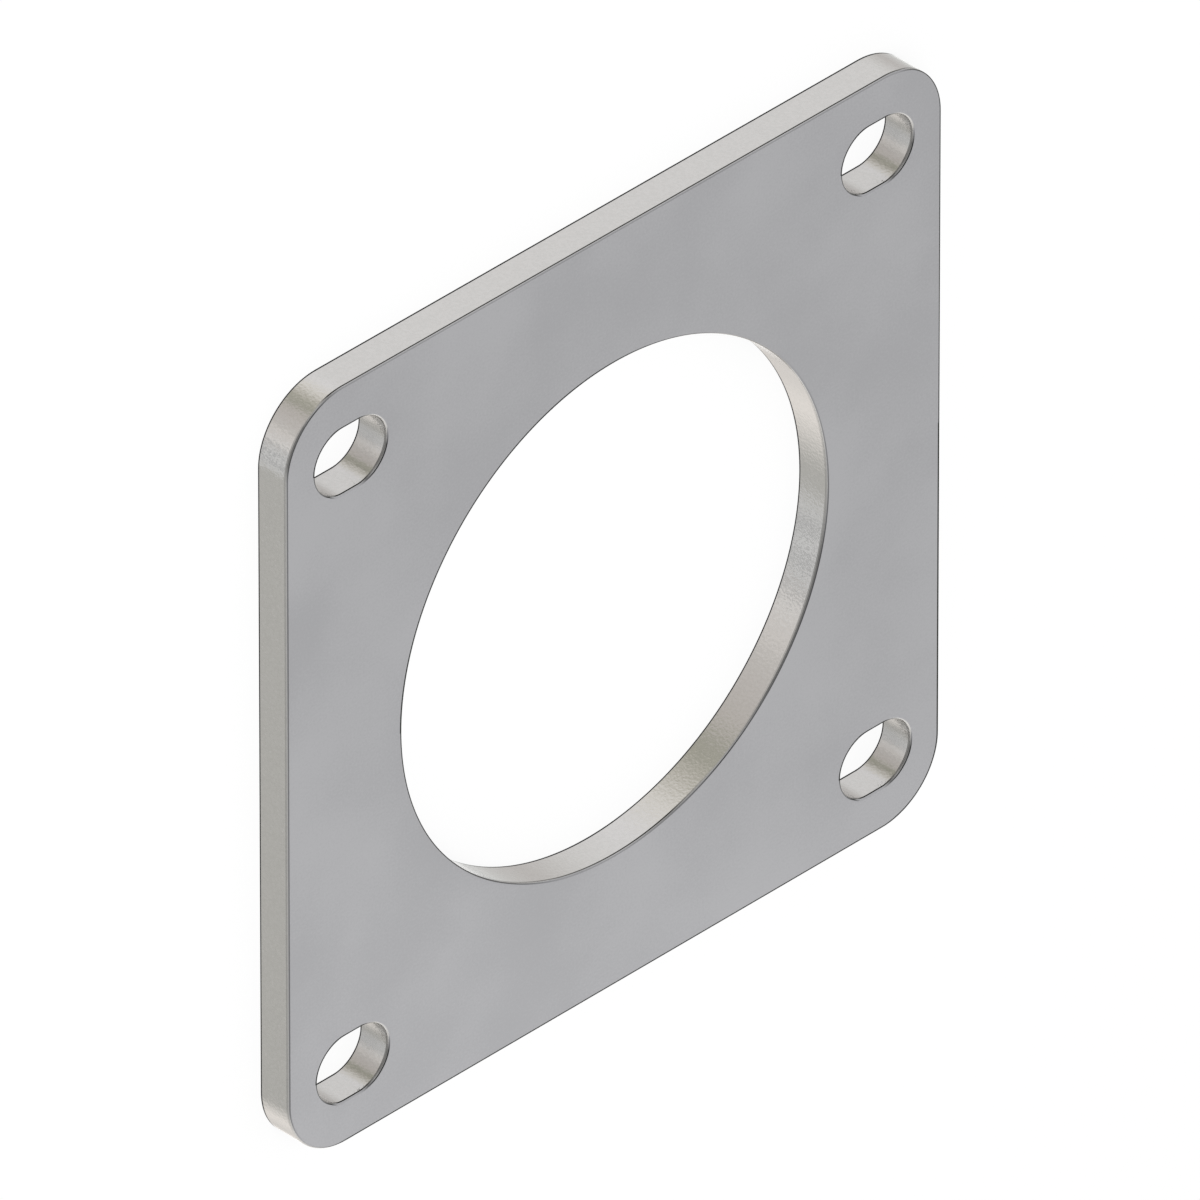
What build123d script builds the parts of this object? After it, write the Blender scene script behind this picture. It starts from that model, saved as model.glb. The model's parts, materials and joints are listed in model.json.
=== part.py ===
from build123d import *
import os

# Laser cut steel flange: a square plate with rounded corners, a large round bore in the middle
# and four slotted bolt holes near the corners, all cut from one sheet. Millimetres.
# The plate lies flat: X and Y run along its sides, Z through its thickness.
# The origin is at the middle of the bore, on the face that the plate rests on.

# Sheet
plate_width = 115.0
plate_height = 115.0
plate_thickness = 5.0
corner_radius = 10.0

# Round passage through the middle
bore_diameter = 75.0

# Bolt slots. The travel is the distance between the centres of a slot's two round ends,
# and the insets run from the plate's sides to the middle of the slot.
slot_width = 9.75
slot_travel = 2.75
slot_inset_x = 11.25
slot_inset_y = 11.25

# Rims of every cut: broken with a small round on the front face, left sharp on the back face.
front_rim_round = 0.25


def blank_outline():
    """The outside of the plate."""
    return RectangleRounded(plate_width, plate_height, corner_radius)


def bore_outline():
    """The round passage in the middle."""
    return Circle(bore_diameter / 2)


def slot_outlines():
    """Four slots on a rectangle, all with their travel along X."""
    spacing_x = plate_width - 2 * slot_inset_x
    spacing_y = plate_height - 2 * slot_inset_y
    centres = GridLocations(spacing_x, spacing_y, 2, 2)
    return centres * SlotCenterToCenter(slot_travel, slot_width)


def cut_plate():
    """The laser's work: the blank less its openings, square through the whole sheet."""
    profile = blank_outline() - bore_outline() - slot_outlines()
    return extrude(profile, amount=plate_thickness)


def rounded_in_front(plate):
    """Breaks the sharp rims that the cuts leave round the front face and its openings."""
    front_face = plate.faces().sort_by(Axis.Z)[-1]
    return fillet(front_face.edges(), front_rim_round)


flange_plate = rounded_in_front(cut_plate())
flange_plate.label = "flange_plate"

os.makedirs("parts", exist_ok=True)
export_step(flange_plate, "parts/flange_plate.step")
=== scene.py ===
import json
import math

import bmesh
import bpy
from mathutils import Matrix, Vector
from mathutils.kdtree import KDTree

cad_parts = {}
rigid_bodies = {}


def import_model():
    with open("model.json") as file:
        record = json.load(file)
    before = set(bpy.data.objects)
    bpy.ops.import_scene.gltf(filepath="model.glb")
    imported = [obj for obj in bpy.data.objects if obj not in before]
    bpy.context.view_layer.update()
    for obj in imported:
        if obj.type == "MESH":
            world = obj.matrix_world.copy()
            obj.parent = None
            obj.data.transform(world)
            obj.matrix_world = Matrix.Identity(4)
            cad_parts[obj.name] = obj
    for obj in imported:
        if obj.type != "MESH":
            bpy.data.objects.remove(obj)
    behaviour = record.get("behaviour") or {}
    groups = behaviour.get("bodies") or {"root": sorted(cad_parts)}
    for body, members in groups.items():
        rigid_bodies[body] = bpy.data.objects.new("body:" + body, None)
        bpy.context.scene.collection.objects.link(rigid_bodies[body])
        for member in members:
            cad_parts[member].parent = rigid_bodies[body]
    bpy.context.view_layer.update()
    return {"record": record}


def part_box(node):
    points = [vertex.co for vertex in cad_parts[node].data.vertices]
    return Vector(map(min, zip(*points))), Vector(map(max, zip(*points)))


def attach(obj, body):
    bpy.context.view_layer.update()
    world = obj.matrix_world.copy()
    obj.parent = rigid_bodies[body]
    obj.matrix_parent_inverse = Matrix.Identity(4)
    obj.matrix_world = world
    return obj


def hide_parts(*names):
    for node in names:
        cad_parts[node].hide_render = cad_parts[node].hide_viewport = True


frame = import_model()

mm = 0.001
hair = 0.001 * mm          # points closer than this count as one
black = (0.0, 0.0, 0.0, 1.0)
white = (1.0, 1.0, 1.0, 1.0)
low, high = [Vector(corner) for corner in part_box("flange_plate")]
mounts = {mount["name"]: mount["dims"] for mount in frame["record"]["mounts"]}
print("frame loaded: plate", [round(side / mm, 2) for side in high - low], "mm")


# Node wiring: sums on sockets are written as plain expressions

class Wire:
    def __init__(self, desk, socket):
        self.desk = desk
        self.socket = socket

    def __add__(self, other):
        return self.desk.sum("ADD", self, other)

    def __sub__(self, other):
        return self.desk.sum("SUBTRACT", self, other)

    def __rsub__(self, other):
        return self.desk.sum("SUBTRACT", other, self)

    def __mul__(self, other):
        return self.desk.sum("MULTIPLY", self, other)

    def __truediv__(self, other):
        return self.desk.sum("DIVIDE", self, other)

    def __abs__(self):
        return self.desk.sum("ABSOLUTE", self)

    __radd__ = __add__
    __rmul__ = __mul__


class Desk:
    def __init__(self, tree):
        self.tree = tree
        tree.nodes.clear()

    # Adds a node, makes its settings, then fills or links its sockets by name or number
    def node(self, kind, settings=None, inputs=None):
        made = self.tree.nodes.new(kind)
        for name, value in (settings or {}).items():
            if name == "stops":
                self.setStops(made.color_ramp, value)
            else:
                setattr(made, name, value)
        for name, value in (inputs or {}).items():
            if isinstance(value, Wire):
                self.tree.links.new(value.socket, made.inputs[name])
            else:
                made.inputs[name].default_value = value
        return made

    # Stops are headings in degrees, with two to four values each; values left out are as in black
    def setStops(self, ramp, stops):
        while len(ramp.elements) < len(stops):
            ramp.elements.new(0.5)
        for element, (degrees, values) in zip(ramp.elements, stops):
            element.position = degrees / 360
            element.color = (*values, *black[len(values):])

    def out(self, made, name=0):
        return Wire(self, made.outputs[name])

    # The three numbers of a vector or a colour
    def split(self, vector):
        axes = self.node("ShaderNodeSeparateXYZ", None, {0: vector})
        return [self.out(axes, number) for number in range(3)]

    def sum(self, operation, *terms):
        return self.out(self.node("ShaderNodeMath", {"operation": operation}, dict(enumerate(terms))))

    def most(self, first, second):
        return self.sum("MAXIMUM", first, second)

    def least(self, first, second):
        return self.sum("MINIMUM", first, second)

    def length(self, across, along):
        return self.sum("SQRT", across * across + along * along)

    def dot(self, first, second):
        made = self.node("ShaderNodeVectorMath", {"operation": "DOT_PRODUCT"}, {0: first, 1: second})
        return self.out(made, "Value")

    def stretched(self, place, factors):
        inputs = {0: place, 1: factors}
        return self.out(self.node("ShaderNodeVectorMath", {"operation": "MULTIPLY"}, inputs))

    # 0 below the first edge, 1 above the second, with a soft step between
    def step(self, value, start, end):
        settings = {"interpolation_type": "SMOOTHSTEP"}
        inputs = {"Value": value, "From Min": start, "From Max": end}
        return self.out(self.node("ShaderNodeMapRange", settings, inputs))

    # 1 within so far of zero, 0 beyond, with a soft edge
    def line(self, value, half, soft):
        return 1.0 - self.step(abs(value), half - soft, half + soft)

    # A ramp all round the compass, its headings counted from +X by way of +Y
    def roundCompass(self, direction, stops):
        x, y, z = self.split(direction)
        turn = self.sum("ARCTAN2", y, x) / (2 * math.pi)
        return self.node("ShaderNodeValToRGB", {"stops": stops}, {0: self.sum("FRACT", turn + 1.0)})

    # 1 where a level direction is close to a heading, 0 far from it: the two edges are cosines
    def headed(self, direction, heading, start, end):
        turn = math.radians(heading)
        return self.step(self.dot(direction, (math.cos(turn), math.sin(turn), 0.0)), start, end)

    def mixColours(self, share, first, second):
        inputs = {0: share, 6: first, 7: second}
        return self.out(self.node("ShaderNodeMix", {"data_type": "RGBA"}, inputs), 2)

    def noise(self, place, scale, detail=2.0, roughness=0.5):
        inputs = {"Vector": place, "Scale": scale, "Detail": detail, "Roughness": roughness}
        return self.out(self.node("ShaderNodeTexNoise", None, inputs), 0)


# The plate: three kinds of outline drawn flat, filled, pulled to thickness, front rims rounded

plate = {
    "cornerRadius": 10.0 * mm,
    "cornerSteps": 28,
    "boreRadius": mounts["bore"]["r_mm"] * mm,
    "boreSteps": 288,
    "slotLength": mounts["bolt_slots"]["slot_length_mm"] * mm,
    "slotWidth": 2 * mounts["bolt_slots"]["hole_r_mm"] * mm,
    "slotSteps": 20,
    "slotX": mounts["bolt_slots"]["spacing_x_mm"] / 2 * mm,
    "slotY": mounts["bolt_slots"]["spacing_y_mm"] / 2 * mm,
    "rimBand": 0.6 * mm,       # an even strip of faces along every cut, for the rims to be rounded in
    "frontRound": 0.25 * mm,
    "frontRoundSteps": 6,
    "sharpFrom": 30,           # degrees between faces
}


def selectEdges(mesh, wanted):
    work = bmesh.from_edit_mesh(mesh)
    for part in (work.verts, work.edges, work.faces):
        for item in part:
            item.select = False
    for edge in work.edges:
        if wanted(edge):
            edge.select_set(True)
    bmesh.update_edit_mesh(mesh)


# A rectangle whose corners are bevelled round; only its outline is kept
def drawRounded(width, height, radius, steps, centre):
    bpy.ops.mesh.primitive_plane_add(size=1.0, location=centre)
    bpy.ops.transform.resize(value=(width, height, 1.0), center_override=centre)
    bpy.ops.mesh.bevel(offset=radius, segments=steps, affect="VERTICES", clamp_overlap=False)
    bpy.ops.mesh.select_linked()
    bpy.ops.mesh.delete(type="ONLY_FACE")


# The edges between a wall and the flat face at this height
def isRim(edge, height):
    level = all(abs(corner.co.z - height) < hair for corner in edge.verts)
    upright = any(abs(face.normal.z) < 0.5 for face in edge.link_faces)
    return level and upright


# Every point keeps the way that its nearest wall faces, which the material reads
def keepFacing(piece):
    points = piece.data.vertices
    onWalls = [point for point in points if point.normal.xy.length > 0.5]
    finder = KDTree(len(onWalls))
    for number, point in enumerate(onWalls):
        finder.insert((*point.co.xy, 0.0), number)
    finder.balance()
    facing = piece.data.attributes.new("facing", "FLOAT_VECTOR", "POINT")
    for point, kept in zip(points, facing.data):
        nearest = onWalls[finder.find((*point.co.xy, 0.0))[1]]
        kept.vector = (*nearest.normal.xy.normalized(), 0.0)


def makePlate():
    bpy.ops.object.select_all(action="DESELECT")
    middle = Vector((0.0, 0.0, high.z))
    width, height, thickness = high - low
    bpy.ops.mesh.primitive_circle_add(
        vertices=plate["boreSteps"], radius=plate["boreRadius"], location=middle)
    piece = bpy.context.object
    piece.name = piece.data.name = "cutPlate"
    bpy.ops.object.transform_apply(location=True, rotation=True, scale=True)
    bpy.ops.object.mode_set(mode="EDIT")

    drawRounded(width, height, plate["cornerRadius"], plate["cornerSteps"], middle)
    for sideX in (-1, 1):
        for sideY in (-1, 1):
            centre = middle + Vector((sideX * plate["slotX"], sideY * plate["slotY"], 0.0))
            drawRounded(plate["slotLength"], plate["slotWidth"], plate["slotWidth"] / 2,
                        plate["slotSteps"], centre)

    bpy.ops.mesh.select_all(action="SELECT")
    bpy.ops.mesh.remove_doubles(threshold=hair)
    bpy.ops.mesh.fill(use_beauty=True)
    bpy.ops.mesh.inset(thickness=plate["rimBand"], use_boundary=True, use_even_offset=True)
    bpy.ops.mesh.select_all(action="SELECT")
    bpy.ops.mesh.extrude_region_move(TRANSFORM_OT_translate={"value": (0.0, 0.0, -thickness)})
    bpy.ops.mesh.select_all(action="SELECT")
    bpy.ops.mesh.normals_make_consistent(inside=False)

    selectEdges(piece.data, lambda edge: isRim(edge, high.z))
    bpy.ops.mesh.bevel(offset=plate["frontRound"], segments=plate["frontRoundSteps"],
                       affect="EDGES", clamp_overlap=False)
    bpy.ops.object.mode_set(mode="OBJECT")

    bpy.ops.object.shade_smooth_by_angle(angle=math.radians(plate["sharpFrom"]))
    bpy.ops.object.modifier_add(type="WEIGHTED_NORMAL")
    piece.modifiers[-1].keep_sharp = True
    bpy.ops.object.modifier_apply(modifier=piece.modifiers[-1].name)
    keepFacing(piece)
    return piece


cutPlate = makePlate()
print("plate modelled:", len(cutPlate.data.vertices), "points", len(cutPlate.data.polygons), "faces")

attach(cutPlate, "root")
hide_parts("flange_plate")


# Steel, from here on in millimetres: a grey rolled face, brighter and warmer cut walls, and dark
# hairlines along the rims, which are painted shade of the rounded edges, with a painted highlight on
# the rounding at some headings. Where a heading is followed by two numbers, these are the cosines of
# the angles from it at which the effect begins and is full.

rims = {
    # dark colour of the painted shade along the rims
    "colour": (0.012, 0.012, 0.011, 1.0),
    "upper": (2.0, 3.0),           # heights between which the back rim's look gives way to the front one's
    "half": 0.115,                 # of a hairline's width
    "soft": 0.03,
    "wallPlace": -1.0,             # places of the lines across the rim, in widths of the front rounding:
    "facePlace": 0.6,              # 0 at the sharp edge that the cut would have, below it down the wall
    "middlePlace": -0.2,
    "middleHalf": 0.8,
    "sunkHeadings": (180, 0.0, 0.9),        # there the wall's line lies lower
    "sunk": 0.4,
    "backHalf": 0.24,
    "thinHeadings": (140, 0.6, 0.85),       # there the back line is thinner
    "thinning": 0.055,
    # at these headings a painted highlight: the wall's bright colour is laid over the rounding
    "paintedHighlightHeadings": (228, 0.72, 0.86),      # there the wall's bright steel reaches over the rounding
    "paintedHighlightReach": 0.6,
    "paintedHighlightReachInSlots": 0.5,                # and so much more of it in the slots
    "faceEdge": (-0.06, 0.0),
}

# Painted shade on the rims, by the heading that the wall faces: how dark the wall's hairline is, the
# face's one and the rounding between them, and how far all three are shifted (0.5 for none, more towards
# the face)
rimShadeByHeading = {
    "sides": [
        (0, (0.0, 1.0, 1.0, 0.57)),
        (30, (0.0, 1.0, 0.8, 0.45)),
        (45, (0.2, 1.0, 0.7, 0.34)),
        (60, (0.6, 0.8, 0.5, 0.36)),
        (75, (0.8, 0.3, 0.0, 0.61)),
        (90, (0.95, 0.35, 0.0, 0.57)),
        (105, (1.0, 0.6, 0.6, 0.54)),
        (120, (0.0, 0.95, 0.4, 0.54)),
        (135, (0.3, 0.85, 0.8, 0.53)),
        (150, (0.5, 0.9, 0.8, 0.51)),
        (165, (0.6, 0.9, 0.8, 0.48)),
        (180, (0.45, 0.7, 0.4, 0.50)),
        (195, (0.2, 0.5, 0.2, 0.53)),
        (210, (0.05, 0.2, 0.1, 0.60)),
        (225, (0.05, 0.0, 0.0, 0.60)),
        (240, (0.0, 0.1, 0.2, 0.50)),
        (255, (0.0, 0.9, 0.9, 0.46)),
        (270, (0.0, 1.0, 1.0, 0.58)),
        (285, (0.0, 1.0, 1.0, 0.65)),
        (345, (0.0, 1.0, 1.0, 0.65)),
    ],
    "slots": [
        (0, (0.0, 1.0, 1.0, 0.52)),
        (30, (0.0, 0.7, 0.4, 0.40)),
        (45, (0.1, 0.7, 0.4, 0.40)),
        (60, (0.4, 1.0, 0.7, 0.40)),
        (75, (1.0, 0.1, 0.0, 0.65)),
        (90, (1.0, 0.1, 0.0, 0.62)),
        (105, (0.9, 0.8, 0.75, 0.53)),
        (120, (0.6, 1.0, 0.45, 0.53)),
        (135, (0.75, 1.0, 0.65, 0.50)),
        (165, (0.6, 1.0, 0.8, 0.48)),
        (180, (0.6, 0.6, 0.45, 0.48)),
        (195, (0.55, 0.25, 0.0, 0.48)),
        (210, (0.5, 0.0, 0.0, 0.46)),
        (225, (0.2, 0.0, 0.0, 0.48)),
        (240, (0.0, 0.0, 0.0, 0.48)),
        (255, (0.0, 0.7, 0.7, 0.46)),
        (270, (0.0, 1.0, 1.0, 0.57)),
        (285, (0.0, 1.0, 1.0, 0.65)),
        (345, (0.0, 1.0, 1.0, 0.62)),
    ],
}


# How far a point lies from the nearest cut, and from the nearest slot: 0 on the walls and more inside
# the face
def cutDistances(desk, x, y):
    halfWidth, halfHeight = (high.x - low.x) / 2 / mm, (high.y - low.y) / 2 / mm
    corner = plate["cornerRadius"] / mm
    fromSide = abs(x) - (halfWidth - corner)
    fromEnd = abs(y) - (halfHeight - corner)
    outside = desk.length(desk.most(fromSide, 0.0), desk.most(fromEnd, 0.0))
    blank = outside + desk.least(desk.most(fromSide, fromEnd), 0.0) - corner
    bore = plate["boreRadius"] / mm - desk.length(x, y)
    halfTravel = (plate["slotLength"] - plate["slotWidth"]) / 2 / mm
    along = desk.most(abs(abs(x) - plate["slotX"] / mm) - halfTravel, 0.0)
    across = abs(y) - plate["slotY"] / mm
    slots = plate["slotWidth"] / 2 / mm - desk.length(along, across)
    return desk.most(desk.most(blank, bore), slots) * -1.0, slots * -1.0


# How much of the painted rim shade's dark colour shows. Run is the way across a rim: above 0 on the flat
# face, below 0 down the wall.
def paintedRimShade(desk, run, facing, inSlot, upper):
    sides, slots = [desk.roundCompass(facing, rimShadeByHeading[kind]) for kind in ("sides", "slots")]
    wallDark, faceDark, middleDark = desk.split(desk.mixColours(inSlot, desk.out(sides), desk.out(slots)))
    shift = desk.out(sides, 1) + (desk.out(slots, 1) - desk.out(sides, 1)) * inSlot
    moved = run - (shift - 0.5)
    edge, half, soft = plate["frontRound"] / mm, rims["half"], rims["soft"]
    sunk = desk.headed(facing, *rims["sunkHeadings"]) * rims["sunk"]
    wallLine = desk.line(moved + edge * (sunk - rims["wallPlace"]), half, soft) * wallDark
    faceLine = desk.line(moved - edge * rims["facePlace"], half, soft) * faceDark
    middle = desk.line(moved - edge * rims["middlePlace"], edge * rims["middleHalf"], soft) * middleDark
    thinning = desk.headed(facing, *rims["thinHeadings"]) * rims["thinning"]
    backLine = desk.line(run, rims["backHalf"] - thinning, soft)
    return desk.most(desk.most(wallLine, faceLine), middle) * upper + backLine * (1.0 - upper)


# 1 on the flat face, 0 on the walls. The face's grey begins half way round the rounding, or beyond it
# where the wall's bright colour is laid over the rounding as a painted highlight.
def faceShare(desk, run, facing, inSlot, upper):
    # painted highlight on the rounding at some headings, reaching further in the slots
    pale = desk.headed(facing, *rims["paintedHighlightHeadings"]) * upper
    reach = rims["paintedHighlightReach"] + inSlot * rims["paintedHighlightReachInSlots"]
    return desk.step(run - pale * reach * (plate["frontRound"] / mm), *rims["faceEdge"])


# Rolled face: slow clouds and a fine grain

rolledFace = {
    "colour": (0.410, 0.410, 0.421, 1.0),
    "shade": (0.364, 0.364, 0.375, 1.0),
    "cloudScale": 0.045,
    "grainScale": 3.0,
    "grainShare": 0.44,
    "contrast": (0.36, 0.64),
    "relief": 0.2,
    "roughness": 0.34,
}


def faceColour(desk, spot, grain):
    clouds = desk.noise(spot, rolledFace["cloudScale"], 3.0)
    share = rolledFace["grainShare"]
    mixed = desk.step(clouds * (1 - share) + grain * share, *rolledFace["contrast"])
    return desk.mixColours(mixed, rolledFace["shade"], rolledFace["colour"])


# Cut walls: coarse grain, and in its relief also fine striations that run through the thickness. They
# carry painted shade and painted light by heading in the slots, and painted shade in the bore's upper
# right and lower left.

cutWall = {
    "colour": (0.636, 0.623, 0.605, 1.0),
    "shade": (0.611, 0.599, 0.581, 1.0),
    "grainScale": 2.6,
    "contrast": (0.36, 0.64),
    "relief": 0.8,
    "striationScale": 3.5,
    "striationStretch": (1.0, 1.0, 0.15),
    "striationRelief": 0.06,
    "roughness": 0.13,
    "slotReach": (1.0, 2.0),                # how far outside a slot its look holds
    # painted light on the slots' walls near the face, from these heights and headings
    "slotNearFace": (2.0, 4.5),             # heights between which the slots' light from the face fades in
    "slotRounding": (4.6, 4.8),
    "slotLitHeadings": (240, -0.5, 0.5),    # the slots' walls that it falls on
    "slotRoughening": 0.14,
    "boreReach": (30.0, 35.0),              # from the middle: the bore's look begins and is full
    # painted shade at the bore's upper right and lower left: heading, cosines, and how much it darkens
    "borePaintedShade": [((225, 0.97, 0.998), 0.41), ((45, 0.975, 0.992), 0.35)],
}

# By heading, in the slots: how much painted shade darkens the wall, and how much painted light lightens it
# near the face
slotPaintedShadeAndLight = [
    (60, (0.10, 0.0)),
    (78, (0.07, 0.0)),
    (90, (0.045, 0.0)),
    (98, (0.09, 0.0)),
    (108, (0.17, 0.0)),
    (116, (0.19, 0.0)),
    (124, (0.09, 0.0)),
    (140, (0.14, 0.0)),
    (148, (0.15, 0.0)),
    (156, (0.12, 0.0)),
    (172, (0.10, 0.0)),
    (180, (0.13, 0.0)),
    (188, (0.14, 0.0)),
    (196, (0.10, 0.31)),
    (208, (0.10, 0.33)),
    (214, (0.07, 0.42)),
    (240, (0.07, 0.42)),
]


def wallColour(desk, spot, height, facing, inSlot, lit, coarse):
    wall = desk.mixColours(desk.step(coarse, *cutWall["contrast"]), cutWall["shade"], cutWall["colour"])
    darker, lighter, unused = desk.split(desk.out(desk.roundCompass(facing, slotPaintedShadeAndLight)))
    nearFace = desk.step(height, *cutWall["slotNearFace"])
    belowRounding = 1.0 - desk.step(height, *cutWall["slotRounding"])
    # painted shade on the slots' walls, spared near the face where the painted light falls
    wall = desk.mixColours(inSlot * (1.0 - nearFace * lit) * darker, wall, black)
    # painted light on the slots' walls near the face
    wall = desk.mixColours(inSlot * nearFace * belowRounding * lighter, wall, white)
    # painted shade in the bore's upper right and lower left
    inBore = desk.step(desk.dot(spot, facing) * -1.0, *cutWall["boreReach"]) * (1.0 - inSlot)
    paintedBoreShade = [desk.headed(facing, *headings) * dimming for headings, dimming in cutWall["borePaintedShade"]]
    return desk.mixColours(inBore * (paintedBoreShade[0] + paintedBoreShade[1]), wall, black)


surface = {
    "grainGloss": 0.05,        # how far the fine grain moves the roughness
    "lineGloss": 0.1,          # specular level of the dark lines
    "reliefDepth": 0.04,
}


def steelMaterial():
    material = bpy.data.materials.new("cutSteel")
    material.use_nodes = True
    desk = Desk(material.node_tree)
    place = desk.out(desk.node("ShaderNodeTexCoord"), "Object")
    spot = desk.stretched(place, (1 / mm, 1 / mm, 1 / mm))
    facing = desk.out(desk.node("ShaderNodeAttribute", {"attribute_name": "facing"}), "Vector")
    x, y, z = desk.split(spot)
    fromCut, fromSlot = cutDistances(desk, x, y)
    run = fromCut - desk.least(high.z / mm - z, z - low.z / mm)
    inSlot = 1.0 - desk.step(fromSlot, *cutWall["slotReach"])
    upper = desk.step(z, *rims["upper"])
    lit = desk.headed(facing, *cutWall["slotLitHeadings"])

    grain = desk.noise(spot, rolledFace["grainScale"], 3.0, 0.6)
    coarse = desk.noise(spot, cutWall["grainScale"], 1.0)
    striations = desk.noise(desk.stretched(spot, cutWall["striationStretch"]), cutWall["striationScale"])
    # painted shade along the rims: dark lines and a darkened rounding, set by heading
    rim = paintedRimShade(desk, run, facing, inSlot, upper)
    onFace = faceShare(desk, run, facing, inSlot, upper)
    wall = wallColour(desk, spot, z, facing, inSlot, lit, coarse)
    bare = desk.mixColours(onFace, wall, faceColour(desk, spot, grain))
    onWalls = cutWall["roughness"] + inSlot * lit * cutWall["slotRoughening"]
    roughness = onWalls + (rolledFace["roughness"] - onWalls) * onFace
    wallRelief = coarse * cutWall["relief"] + striations * cutWall["striationRelief"]
    relief = desk.node("ShaderNodeBump", None, {
        "Strength": 1.0, "Distance": surface["reliefDepth"] * mm,
        "Height": onFace * grain * rolledFace["relief"] + (1.0 - onFace) * wallRelief})

    shader = desk.node("ShaderNodeBsdfPrincipled", None, {
        # the painted rim shade is laid over the bare steel's colour
        "Base Color": desk.mixColours(rim, bare, rims["colour"]),
        "Metallic": 1.0 - rim,
        "Specular IOR Level": surface["lineGloss"],
        "Roughness": roughness + (grain - 0.5) * surface["grainGloss"],
        "Normal": desk.out(relief, "Normal")})
    output = desk.node("ShaderNodeOutputMaterial")
    desk.tree.links.new(shader.outputs["BSDF"], output.inputs["Surface"])
    return material


cutPlate.data.materials.clear()
cutPlate.data.materials.append(steelMaterial())
print("steel wired:", len(cutPlate.data.materials[0].node_tree.nodes), "nodes")


# Floor: white to the camera with the plate's soft shadow left in it, and clear to reflections,
# so that the steel shows the studio all round

floor = {
    "size": 16.0,
    "parts": 8,
    "drop": 0.01 * mm,
    "colour": (0.80, 0.80, 0.80, 1.0),
    "whiteShare": 0.88,
}


def makeFloor():
    bpy.ops.object.select_all(action="DESELECT")
    bpy.ops.mesh.primitive_grid_add(x_subdivisions=floor["parts"], y_subdivisions=floor["parts"],
                                    size=floor["size"], location=(0.0, 0.0, low.z - floor["drop"]))
    sheet = bpy.context.object
    sheet.name = "floor"
    material = bpy.data.materials.new("whiteFloor")
    material.use_nodes = True
    desk = Desk(material.node_tree)
    rays = desk.node("ShaderNodeLightPath")
    matt = desk.node("ShaderNodeBsdfDiffuse", None, {"Color": floor["colour"]})
    bright = desk.node("ShaderNodeEmission", None, {"Strength": 1.0})
    clear = desk.node("ShaderNodeBsdfTransparent")
    seen = desk.out(rays, "Is Camera Ray") * floor["whiteShare"]
    shown = desk.node("ShaderNodeMixShader", None, {0: seen, 1: desk.out(matt), 2: desk.out(bright)})
    mirrored = desk.out(rays, "Is Glossy Ray")
    blend = desk.node("ShaderNodeMixShader", None, {0: mirrored, 1: desk.out(shown), 2: desk.out(clear)})
    output = desk.node("ShaderNodeOutputMaterial")
    desk.tree.links.new(blend.outputs[0], output.inputs["Surface"])
    sheet.data.materials.append(material)


makeFloor()


# Studio: even white overhead, and a ring of paler and darker boards round the plate that the
# cut walls pick up. The ring's headings are degrees round Z from +X.

studio = {
    "overhead": white,
    "behind": (0.70, 0.70, 0.70, 1.0),           # a darker screen overhead, on the viewer's side
    "behindTowards": (-0.577, 0.577, 0.577),
    "behindEdge": (0.72, 0.94),                  # cosines of the angles where it fades out and is full
    "ring": [
        (5, (0.70, 0.68, 0.67)),
        (32, (0.92, 0.92, 0.92)),
        (60, (1.02, 1.02, 1.04)),
        (78, (0.98, 0.96, 0.92)),
        (93, (0.68, 0.66, 0.60)),
        (105, (0.49, 0.49, 0.42)),
        (119, (0.69, 0.66, 0.63)),
        (135, (0.74, 0.71, 0.69)),
        (148, (0.78, 0.76, 0.74)),
        (156, (0.92, 0.89, 0.87)),
        (163, (0.86, 0.84, 0.83)),
        (170, (1.02, 1.01, 1.00)),
        (177, (0.61, 0.60, 0.60)),
        (183, (0.97, 0.98, 0.99)),
        (189, (0.48, 0.49, 0.50)),
        (195, (1.00, 1.01, 1.02)),
        (202, (0.53, 0.54, 0.55)),
        (209, (0.87, 0.88, 0.89)),
        (220, (0.63, 0.63, 0.61)),
        (231, (0.63, 0.63, 0.61)),
        (244, (0.90, 0.88, 0.85)),
        (260, (1.12, 1.08, 1.04)),
        (284, (0.85, 0.82, 0.79)),
        (296, (0.88, 0.84, 0.80)),
        (312, (1.50, 1.48, 1.46)),
        (326, (1.15, 1.15, 1.14)),
        (338, (0.76, 0.77, 0.76)),
        (352, (0.73, 0.72, 0.71)),
    ],
    "ringTop": 0.28,        # the boards end at this height, as the rise of a line of sight
}


def makeStudio():
    world = bpy.data.worlds.new("studio")
    bpy.context.scene.world = world
    world.use_nodes = True
    desk = Desk(world.node_tree)
    direction = desk.out(desk.node("ShaderNodeTexCoord"), "Generated")
    x, y, rise = desk.split(direction)
    ring = desk.out(desk.roundCompass(direction, studio["ring"]))
    screen = desk.step(desk.dot(direction, studio["behindTowards"]), *studio["behindEdge"])
    top = desk.mixColours(screen, studio["overhead"], studio["behind"])
    surround = desk.mixColours(desk.step(rise, 0.0, studio["ringTop"]), ring, top)
    seen = desk.out(desk.node("ShaderNodeLightPath"), "Is Camera Ray")
    shown = desk.mixColours(seen, surround, white)
    light = desk.node("ShaderNodeBackground", None, {"Color": shown, "Strength": 1.0})
    output = desk.node("ShaderNodeOutputWorld")
    desk.tree.links.new(light.outputs[0], output.inputs["Surface"])


makeStudio()

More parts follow.
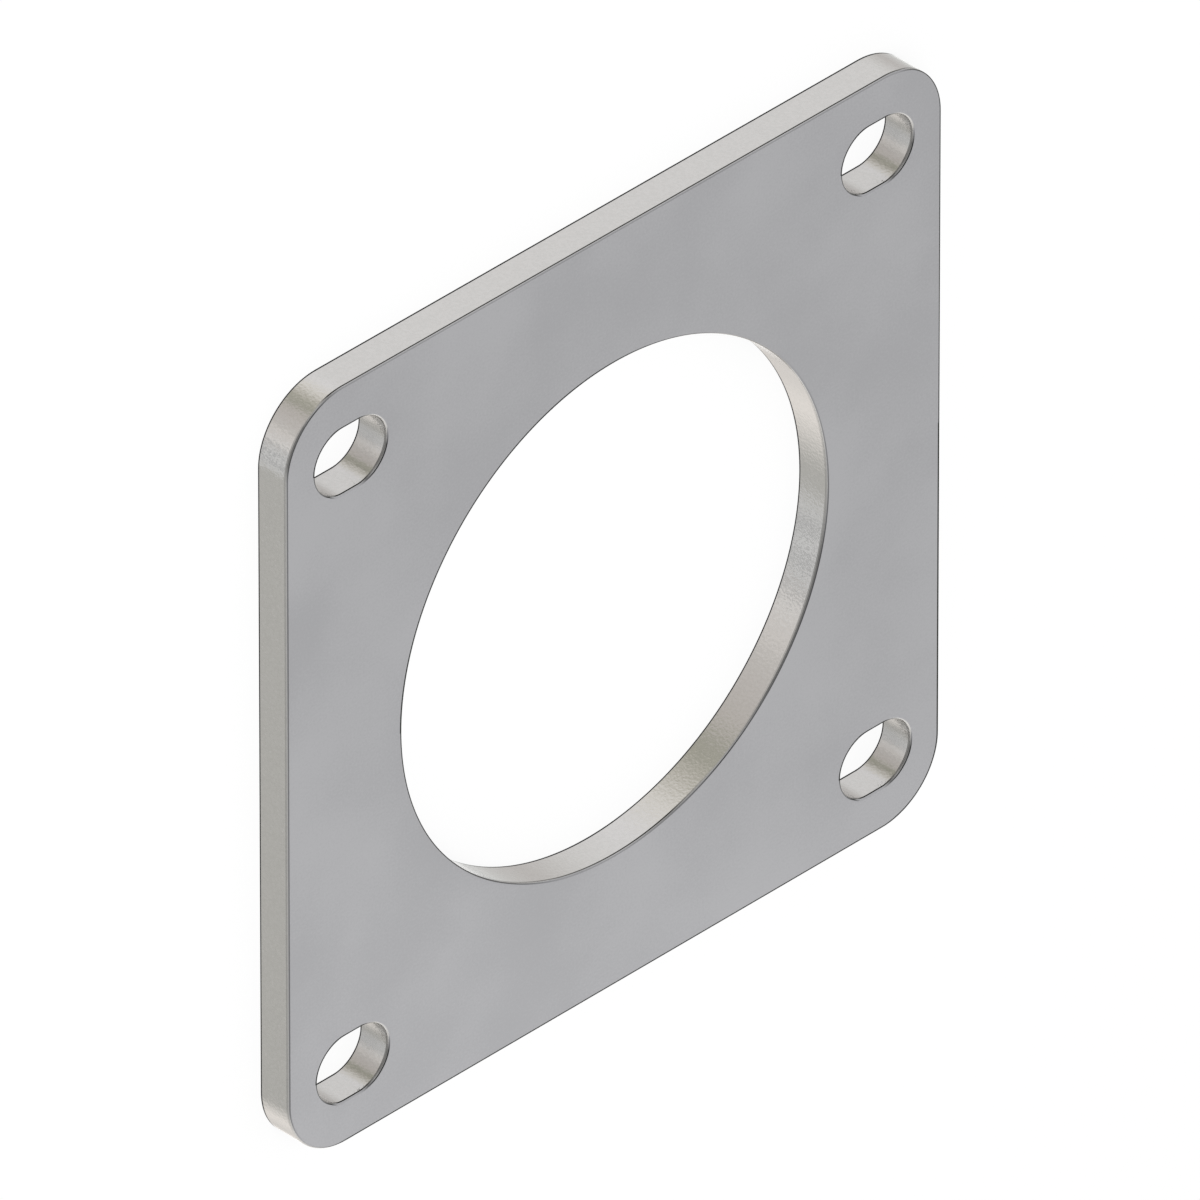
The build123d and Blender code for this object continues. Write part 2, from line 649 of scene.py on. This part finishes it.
# Disk lamps: a softbox from high behind, which the steel doesn't mirror, and two dim ones close by,
# low on the right, whose glow lies along the plate's near side
lamps = [
    {"name": "softbox", "place": (-0.45, 0.35, 0.95), "target": (0.0, 0.0, 0.0),
     "size": 0.7, "power": 6.0, "mirrored": False},
    {"name": "nearGlow", "place": (0.050, -0.165, 0.105), "target": (-0.055, -0.060, 0.0),
     "size": 0.08, "power": 0.0025, "mirrored": True},
    {"name": "farGlow", "place": (0.125, -0.185, 0.105), "target": (0.020, -0.080, 0.0),
     "size": 0.08, "power": 0.0025, "mirrored": True},
]


def makeLamps():
    for asked in lamps:
        line = Vector(asked["place"]) - Vector(asked["target"])
        bpy.ops.object.light_add(type="AREA", location=asked["place"],
                                 rotation=line.to_track_quat("Z", "Y").to_euler())
        lamp = bpy.context.object
        lamp.name = asked["name"]
        lamp.visible_camera = False
        lamp.visible_glossy = asked["mirrored"]
        lamp.data.shape = "DISK"
        lamp.data.size = asked["size"]
        lamp.data.energy = asked["power"]


makeLamps()
print("floor, studio and lamps set")


# Camera: the photo's equal-angle view from the left, front and above, with a very long lens,
# rolled so that the plate's Y side stands upright in the picture

camera = {
    "right": (1.0, 0.0, 1.0),
    "up": (1.0, 2.0, -1.0),
    "back": (-1.0, 1.0, 1.0),
    "sidePixels": 753.3,       # the plate's side along one of the three equal axes
    "imagePixels": 1200,
    "lens": 1600.0,
    "sensor": 36.0,
    "clip": (0.1, 30.0),
    "aimRight": -1.45,         # pixels that the aim lies off the plate's middle
    "aimUp": 0.85,
}


def makeCamera():
    right, up, back = [Vector(camera[name]).normalized() for name in ("right", "up", "back")]
    squareOn = camera["sidePixels"] * math.sqrt(1.5)          # the same side, were it seen square on
    frameWidth = (high.x - low.x) * camera["imagePixels"] / squareOn
    distance = frameWidth * camera["lens"] / camera["sensor"]
    pixel = frameWidth / camera["imagePixels"]
    aim = (low + high) / 2 + right * camera["aimRight"] * pixel + up * camera["aimUp"] * pixel
    bpy.ops.object.camera_add()
    eye = bpy.context.object
    eye.name = "camera"
    eye.data.sensor_width = camera["sensor"]
    eye.data.lens = camera["lens"]
    eye.data.clip_start, eye.data.clip_end = camera["clip"]
    turn = Matrix((right, up, back)).transposed()
    eye.matrix_world = Matrix.Translation(aim + back * distance) @ turn.to_4x4()
    bpy.context.scene.camera = eye


makeCamera()
bpy.context.scene.view_settings.view_transform = "Standard"
